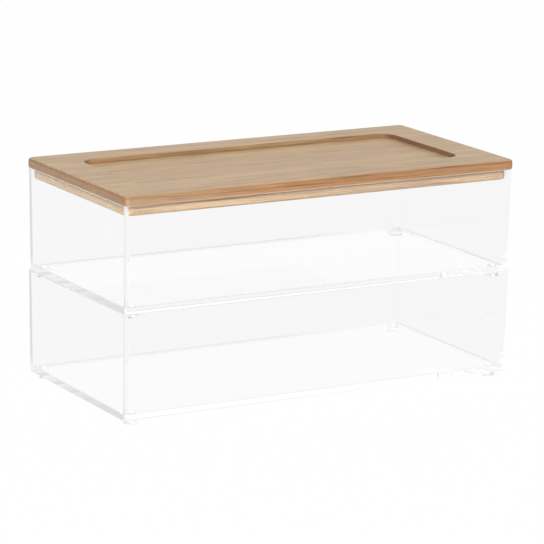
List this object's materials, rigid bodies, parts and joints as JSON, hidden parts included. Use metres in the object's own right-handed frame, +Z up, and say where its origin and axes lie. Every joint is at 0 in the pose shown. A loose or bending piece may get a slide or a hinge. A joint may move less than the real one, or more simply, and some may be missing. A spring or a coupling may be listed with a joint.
{
  "type": "stacking vanity box",
  "caption": "Stacking clear trays on soft bumpers under a bamboo lid: the lid's rebated underside drops inside the rim, and its top has a shallow round-cornered recess.",
  "frame": {"origin": "on the ground, under the middle of the stack", "axes": "+X along the long side, to the right seen from the front; +Y from the front to the back; +Z up"},
  "size_m": [0.2562, 0.1252, 0.1312],
  "materials": {
    "bamboo": "satin, clear oiled bamboo",
    "clear_plastic": "clear, polished",
    "clear_bumper": "clear, soft"
  },
  "bodies": {
    "lower_tray": {"lower_tray": "clear_plastic", "lower_foot_front_left": "clear_bumper", "lower_foot_front_right": "clear_bumper", "lower_foot_back_left": "clear_bumper", "lower_foot_back_right": "clear_bumper"},
    "upper_tray": {"upper_tray": "clear_plastic", "upper_foot_front_left": "clear_bumper", "upper_foot_front_right": "clear_bumper", "upper_foot_back_left": "clear_bumper", "upper_foot_back_right": "clear_bumper"},
    "lid": {"bamboo_lid": "bamboo"}
  },
  "joints": [
    {"name": "upper_tray_lift", "type": "slide", "parent": "lower_tray", "child": "upper_tray", "axis": [0, 0, 1], "range_m": [0, 0.08]},
    {"name": "lid_lift", "type": "slide", "parent": "upper_tray", "child": "lid", "axis": [0, 0, 1], "range_m": [0, 0.08]}
  ]
}
